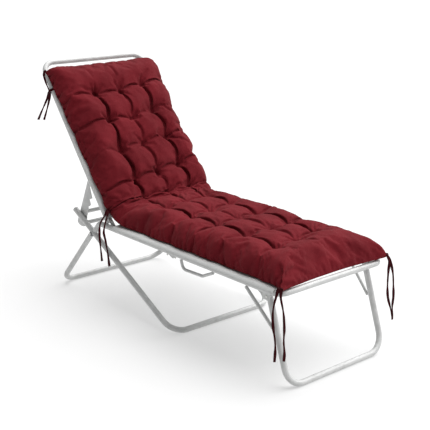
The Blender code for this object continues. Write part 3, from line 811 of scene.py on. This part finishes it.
class Sheet:
    """The cushion's top cloth as a grid: places on the cloth and what each lies near."""

    def __init__(self, x_places, s_places):
        self.x0, self.s0 = x0, s0 = np.meshgrid(x_places, s_places)
        self.in_column = place_between(x0, (-CUSHION_HALF, *TUFT_COLUMNS, CUSHION_HALF))
        self.in_row = place_between(s0, (0.0, *TUFT_ROWS, CUSHION_LENGTH))
        from_columns = np.abs(x0[..., None] - np.array(TUFT_COLUMNS))
        self.column = from_columns.argmin(axis=-1)
        self.to_lengthwise = from_columns.min(axis=-1)
        self.to_crosswise = np.abs(s0[..., None] - np.array(TUFT_ROWS)).min(axis=-1)
        self.to_tuft = np.hypot(self.to_lengthwise, self.to_crosswise)
        self.from_side = CUSHION_HALF - np.abs(x0)
        self.from_end = np.minimum(s0, CUSHION_LENGTH - s0)
        end_rim = np.where(s0 < CUSHION_LENGTH / 2, FOOT_RIM, HEAD_RIM)
        self.side_edge = rim(self.from_side, SIDE_RIM)
        off_top = (1 - self.side_edge) ** 2.6 + (1 - rim(self.from_end, end_rim)) ** 2.6
        self.full = np.maximum(1 - off_top ** (1 / 2.6), 0.0)
        self.on_back = np.clip((s0 - 0.95) / 0.3, 0, 1)
        beyond = np.maximum(TUFT_ROWS[0] - s0, s0 - TUFT_ROWS[-1])
        self.between_ends = np.exp(-((np.maximum(beyond, 0) / 0.032) ** 2))
        self.seam = np.zeros(x0.shape, dtype=bool)
        self.seam[[0, -1], :] = True
        self.seam[:, [0, -1]] = True

    def seam_half(self):
        """Half the width at the seam: drawn in at the rows, out at the corners."""
        notch = np.exp(-((self.to_crosswise / 0.030) ** 2))
        wider = np.interp(self.s0, (0.95, 1.18, 1.45, CUSHION_LENGTH), (-0.019, 0.0, 0.001, 0.005))
        corner = (0.004 + 0.024 * (1 - self.on_back)) * np.exp(-self.from_end / 0.040)
        return CUSHION_HALF + wider - 0.005 * notch + corner

    def seam_height(self):
        return SEAM_HEIGHT + 0.0020 * field(self.x0 * 0.5, self.s0, 14.0, 2.9)

    def placed(self):
        """Where each place of the cloth lies: creases bend between the tufts, and the tufts are uneven."""
        x0, s0 = self.x0, self.s0
        inner = np.clip(self.from_side / 0.10, 0, 1)
        inside = np.clip(self.from_end / 0.20, 0, 1)
        between_rows = np.sin(np.pi * self.in_row) ** 2
        between_columns = np.sin(np.pi * self.in_column) ** 2
        skew = np.interp(s0, TUFT_ROWS, ROW_SKEWS)
        x = x0 + inner * inside * (0.007 * field(x0, s0, 5.5, 3.1) + 0.014 * between_rows)
        s = s0 + inside * (skew * x0 + 0.007 * field(x0, s0, 6.0, 9.4) + 0.010 * between_columns)
        foot_bow = 0.020 * (1 - (x0 / CUSHION_HALF) ** 2) * np.exp(-s0 / 0.06)
        to_side = x0 / CUSHION_HALF
        head_bow = (0.013 - 0.019 * to_side ** 10) * np.exp(-(CUSHION_LENGTH - s0) / 0.06)
        at_bend = 0.006 * np.exp(-(((s0 - 1.15) / 0.22) ** 2))
        head_right = 0.006 * np.clip(to_side, 0, 1) ** 2 * np.exp(-(((s0 - 1.80) / 0.10) ** 2))
        return x + at_bend + head_right, s + foot_bow + head_bow

    def base(self):
        """The full cushion without its creases."""
        x, s = self.placed()
        crown = SEAT_CROWN + (BACK_CROWN - SEAT_CROWN) * self.on_back
        crown = crown * (1 + 0.035 * field(self.x0, self.s0, 7.0, 1.3))
        crown = crown * (1 - HEAD_THINNING * np.clip((self.s0 - TUFT_ROWS[-1]) / 0.1, 0, 1))
        seam = self.seam_height()
        height = seam + (crown - seam) * self.full
        belly = 0.004 * np.sin(np.pi * self.side_edge) * np.clip(1 - self.from_side / SIDE_RIM, 0, 1)
        wide = x * self.seam_half() / CUSHION_HALF + np.sign(x) * belly
        y, z = cushion_path(s, height)
        return np.stack([wide, y, z], axis=-1)

    def under(self):
        x, s = self.placed()
        lying = rim(self.from_side, 0.020) * rim(self.from_end, 0.030)
        y, z = cushion_path(s, self.seam_height() * (1 - lying))
        return np.stack([x * self.seam_half() / CUSHION_HALF, y, z], axis=-1)

    def pull(self):
        """How far the tufts and the valleys between them draw the cloth in."""
        x0, s0 = self.x0, self.s0
        deep = np.interp(s0, TUFT_ROWS, ROW_DEPTHS)
        valley = (0.42 + 0.14 * field(x0, s0, 6.0, 7.7)) * deep * np.array(CREASE_DEPTHS)[self.column]
        lengthwise = valley * crease(self.to_lengthwise, 0.055) * (0.04 + 0.96 * self.between_ends)
        open_side = 0.20 + 0.80 * np.clip(self.from_side / 0.13, 0, 1)
        crosswise = (0.0035 + 0.004 * field(x0, s0, 5.0, 4.1)) * crease(self.to_crosswise, 0.050) * open_side
        tuft = deep * np.array(TUFT_DEPTHS)[self.column] * crease(self.to_tuft, 0.056)
        return (np.maximum(lengthwise, 0) ** 3 + np.maximum(crosswise, 0) ** 3 + tuft**3) ** (1 / 3)

    def folds(self):
        """The narrow folds at the bottom of the valleys, too sharp for the simulated cloth."""
        x0, s0 = self.x0, self.s0
        off_tuft = 0.35 + 0.65 * np.clip(self.to_tuft / 0.022, 0, 1)
        deep = 0.014 * (1 + 0.55 * field(x0, s0, 7.0, 5.2)) * np.array(CREASE_DEPTHS)[self.column] ** 1.5
        total = deep * crease(self.to_lengthwise, 0.015) * self.between_ends
        uneven = np.clip(0.55 + 0.9 * field(x0, s0, 6.0, 4.1), 0.1, 1.2)
        reach = np.clip(self.from_side / 0.010, 0, 1)
        outer = 0.55 + (1.20 - 0.60 * self.on_back) * np.clip((np.abs(x0) - 0.12) / 0.10, 0, 1)
        total += 0.009 * uneven * outer * crease(self.to_crosswise, 0.012) * reach
        return total * off_tuft

    def wrinkles(self):
        """What is too fine for the simulated cloth: rays at the tufts, gathers by the creases and seams."""
        x0, s0 = self.x0, self.s0
        pick = random.Random(23)
        total = np.zeros(x0.shape)
        for row in TUFT_ROWS:
            for column in TUFT_COLUMNS:
                for _ in range(6):
                    angle = pick.uniform(0, math.tau)
                    long = pick.uniform(0.035, 0.105)
                    deep = pick.uniform(0.0020, 0.0085)
                    ahead = (x0 - column) * math.cos(angle) + (s0 - row) * math.sin(angle)
                    aside = (s0 - row) * math.cos(angle) - (x0 - column) * math.sin(angle) + 1.5 * ahead**2
                    run = np.clip(ahead / 0.008, 0, 1) * np.clip((long - ahead) / long, 0, 1)
                    total += deep * run * crease(np.abs(aside), 0.011)
        beside = np.exp(-((self.to_lengthwise / 0.026) ** 2)) * np.clip(self.to_tuft / 0.02, 0, 1)
        total += 0.0010 * field(x0, s0 * 2.6, 24.0, 2.2) * beside
        total += 0.0016 * field(x0, s0, 20.0, 3.9) + 0.0009 * field(x0, s0, 45.0, 5.5)
        up = 0.075 * self.full + 0.5 * np.minimum(self.from_side, self.from_end)
        near_side = np.exp(-((self.from_side / 0.06) ** 2))
        for side, seed in ((-1, 11), (1, 12)):
            gathers = puckers(s0, up, 0.02, CUSHION_LENGTH, 0.044, 0.0120, seed)
            total += gathers * near_side * (x0 * side > 0)
        total += puckers(x0, up * 1.8, -0.28, 0.28, 0.045, 0.0022, 13) * np.exp(-((s0 / 0.06) ** 2))
        at_head = np.exp(-(((CUSHION_LENGTH - s0) / 0.06) ** 2))
        return total + puckers(x0, up, -0.28, 0.28, 0.055, 0.0020, 14) * at_head


def filled_cloth(points, held, trim):
    """The top cloth, cut a little too large, blown up by the filling and held at its seam and tufts."""
    shape = points.shape
    index = np.arange(points[..., 0].size).reshape(shape[:2])
    mesh = mesh_from("top_cloth", points.reshape(-1, 3), grid_faces(index))
    obj = bpy.data.objects.new("top_cloth", mesh)
    bpy.context.scene.collection.objects.link(obj)
    group = obj.vertex_groups.new(name="held")
    for weight in np.unique(held):
        if weight > 0:
            group.add(np.flatnonzero(held == weight).tolist(), float(weight), "REPLACE")
    group = obj.vertex_groups.new(name="trim")
    for weight in np.unique(trim):
        group.add(np.flatnonzero(trim == weight).tolist(), float(weight), "REPLACE")
    cloth = obj.modifiers.new("cloth", "CLOTH")
    settings = cloth.settings
    settings.vertex_group_shrink = "trim"
    settings.shrink_max = 0.0
    settings.quality = 6
    settings.mass = 0.15
    settings.air_damping = 2.0
    settings.tension_stiffness = 25
    settings.compression_stiffness = 12
    settings.shear_stiffness = 6
    settings.bending_stiffness = CLOTH_BENDING
    settings.vertex_group_mass = "held"
    settings.shrink_min = -CLOTH_SPARE
    settings.use_pressure = True
    settings.uniform_pressure_force = CLOTH_PRESSURE
    settings.effector_weights.gravity = 0
    cloth.collision_settings.use_self_collision = True
    cloth.collision_settings.self_distance_min = 0.003
    cloth.collision_settings.use_collision = False
    cloth.point_cache.frame_end = CLOTH_FRAMES
    for number in range(1, CLOTH_FRAMES + 1):
        bpy.context.scene.frame_set(number)
    settled = obj.evaluated_get(bpy.context.evaluated_depsgraph_get())
    moved = np.empty(points.size)
    settled.data.vertices.foreach_get("co", moved)
    bpy.data.objects.remove(obj)
    bpy.context.scene.frame_set(1)
    moved = moved.reshape(shape)
    step = moved - points
    length = np.linalg.norm(step, axis=-1, keepdims=True)
    return points + step * np.minimum(1.0, CLOTH_CAP / np.maximum(length, 1e-9))


def cushion_shape():
    """The top cloth's grid of points, and the sheet that it was made on."""
    rims = ((SIDE_RIM, SIDE_RIM), (FOOT_RIM, HEAD_RIM))
    x_places = even_places(2 * CUSHION_HALF, CLOTH_STEPS[0], *rims[0]) - CUSHION_HALF
    s_places = even_places(CUSHION_LENGTH, CLOTH_STEPS[1], *rims[1])
    sheet = Sheet(x_places, s_places)
    base = sheet.base()
    top = base - grid_normals(base) * sheet.pull()[..., None]
    top[sheet.seam] = sheet.under()[sheet.seam]
    held = np.where(sheet.seam, 1.0, 0.0)
    held[sheet.to_tuft < TUFT_HELD] = 1.0
    trim = CLOTH_TRIM - CLOTH_TRIM * sheet.between_ends * (0.2 + 0.8 * sheet.on_back)
    top = filled_cloth(top, held.ravel(), trim.round(1).ravel())
    marks = [CUSHION_HALF + column for column in TUFT_COLUMNS]
    x_fine = even_places(2 * CUSHION_HALF, COVER_STEPS[0], *rims[0], marks, 1.2) - CUSHION_HALF
    s_fine = even_places(CUSHION_LENGTH, COVER_STEPS[1], *rims[1], TUFT_ROWS, 0.9)
    top = resampled(top, s_places, s_fine)
    top = resampled(top.swapaxes(0, 1), x_places, x_fine).swapaxes(0, 1)
    sheet = Sheet(x_fine, s_fine)
    inward = sheet.folds() + sheet.wrinkles()
    top = top - grid_normals(top) * inward[..., None]
    top[sheet.seam] = sheet.under()[sheet.seam]
    return top, sheet


def grid_normals(points):
    along = np.gradient(points, axis=0)
    sideways = np.gradient(points, axis=1)
    normal = np.cross(sideways, along)
    length = np.linalg.norm(normal, axis=-1, keepdims=True)
    return normal / np.maximum(length, 1e-9)


def under_faces(index, columns, inner):
    """The underside: all the seam's points, but only a few columns inside it."""
    inner = np.concatenate([index[1:-1, :1], inner, index[1:-1, -1:]], axis=1)
    faces = grid_faces(inner)[:, ::-1].tolist()
    stops = [0, *columns, index.shape[1] - 1]
    for number, (low, high) in enumerate(zip(stops, stops[1:])):
        faces.append([*index[0, low:high + 1][::-1].tolist(), inner[0, number], inner[0, number + 1]])
        faces.append([*index[-1, low:high + 1].tolist(), inner[-1, number + 1], inner[-1, number]])
    return faces


def cushion(surface):
    top, sheet = cushion_shape()
    rows, wide = sheet.x0.shape
    index = np.arange(rows * wide).reshape(rows, wide)
    columns = np.linspace(0, wide - 1, UNDER_STEPS + 1).round().astype(int)[1:-1]
    under = sheet.under()[1:-1, columns]
    inner = index.size + np.arange(under.shape[0] * len(columns)).reshape(-1, len(columns))
    points = np.concatenate([top.reshape(-1, 3), under.reshape(-1, 3)])
    place = np.stack([sheet.x0, sheet.s0], axis=-1)
    flat = np.concatenate([place.reshape(-1, 2), place[1:-1, columns].reshape(-1, 2)])
    faces = grid_faces(index).tolist() + under_faces(index, columns.tolist(), inner)
    mesh = mesh_from("cushion_cover", points, faces, flat)
    piece = link("cushion_cover", mesh, surface, ["cushion"])
    return piece


# Floor and light


def stage():
    bpy.ops.mesh.primitive_plane_add(size=120, location=(0, 0, 0))
    floor = bpy.context.object
    floor.name = "floor"
    shader = Shader("floor_paint", FLOOR_COLOUR, 0.9, Emission_Color=WHITE, Emission_Strength=FLOOR_GLOW)
    shader.into("Roughness", shader.spread(shader.noise(shader.place("Object"), 3.0), 0.3, 0.7, 0.85, 0.95))
    floor.data.materials.append(shader.material)

    world = bpy.data.worlds.new("studio")
    world.use_nodes = True
    backdrop = world.node_tree.nodes["Background"]
    backdrop.inputs["Color"].default_value = WHITE
    backdrop.inputs["Strength"].default_value = WORLD_STRENGTH
    bpy.context.scene.world = world

    key = bpy.data.lights.new("key", "SUN")
    key.energy = KEY_ENERGY
    key.angle = KEY_ANGLE
    lamp = bpy.data.objects.new("key", key)
    lamp.rotation_euler = Vector(KEY_DIRECTION).to_track_quat("Z", "Y").to_euler()
    bpy.context.scene.collection.objects.link(lamp)
    bpy.context.scene.view_settings.view_transform = "Standard"


make_camera()
red_cotton = cotton("cushion_cotton", (0.100, 0.0048, 0.0086), (0.139, 0.0076, 0.0128), 0.0009, 0.045)
tape_cotton = cotton("tie_tape", (0.026, 0.0018, 0.0032), (0.045, 0.0032, 0.005), 0.0006, 0.02)
paint = painted_tube()
ties(tape_cotton)
frame_tubes(paint)
legs(paint)
rods(paint)
plates(paint)
fixings(plain_metal(), cap_plastic())
slings(sling_cloth())
cushion(red_cotton)
stage()
